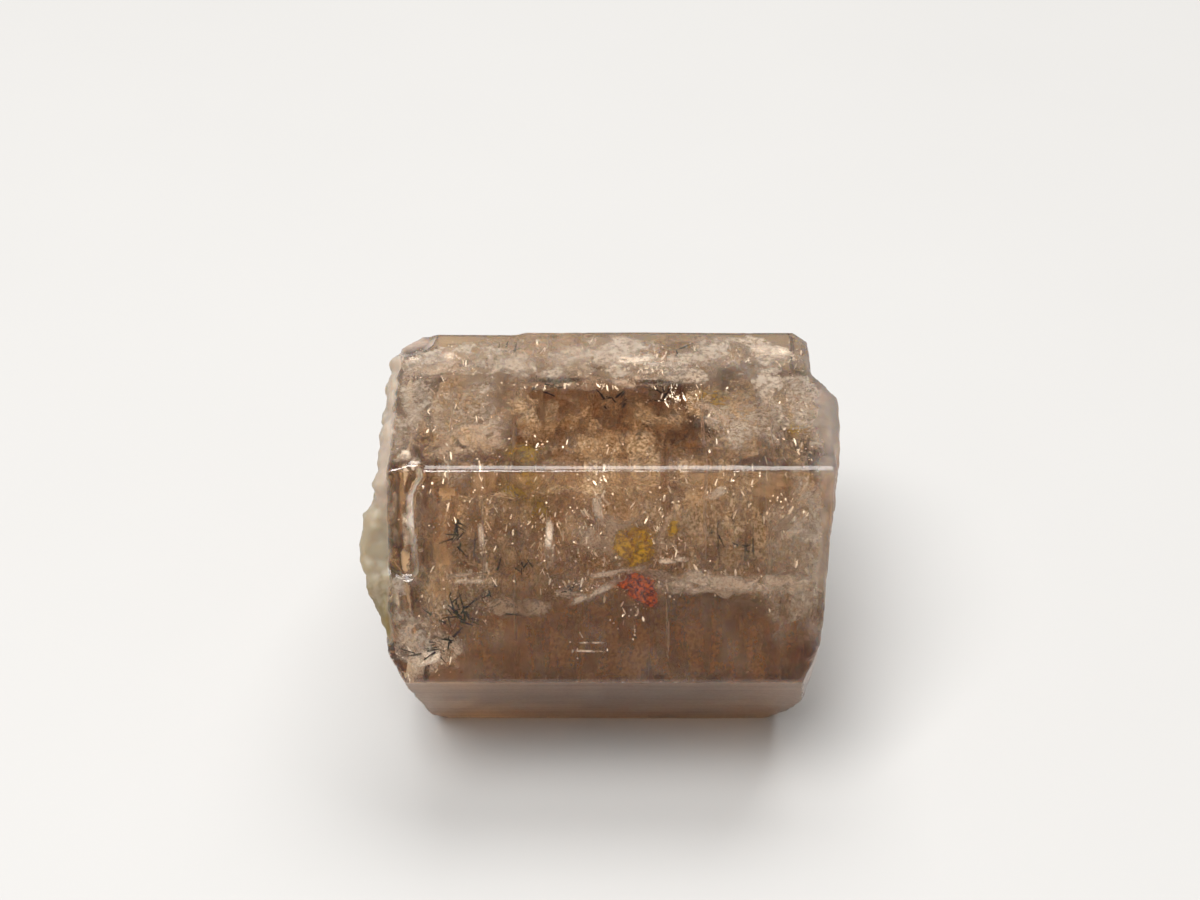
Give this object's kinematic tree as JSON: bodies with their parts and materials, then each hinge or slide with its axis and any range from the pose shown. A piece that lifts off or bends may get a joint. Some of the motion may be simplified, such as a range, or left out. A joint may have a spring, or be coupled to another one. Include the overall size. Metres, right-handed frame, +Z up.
{
  "type": "apatite crystal",
  "caption": "Stubby six-sided apatite crystal lying on a prism face, clear pinkish brown with veils and inclusions, one domed end and one broken, crusted end.",
  "frame": {"origin": "on the resting prism face, under the centre of the bounding box", "axes": "+X along the long (c) axis towards the natural end, -Y the near side, +Z up"},
  "size_m": [0.0224, 0.0202, 0.0175],
  "materials": {
    "apatite": "glossy, hazy inside",
    "healed_crack": "pale milky film",
    "dark_inclusion": "dull, dark brown to black",
    "iron_stain": "thin earthy film, yellow to orange red"
  },
  "bodies": {
    "root": {"crystal": "apatite"}
  },
  "joints": []
}
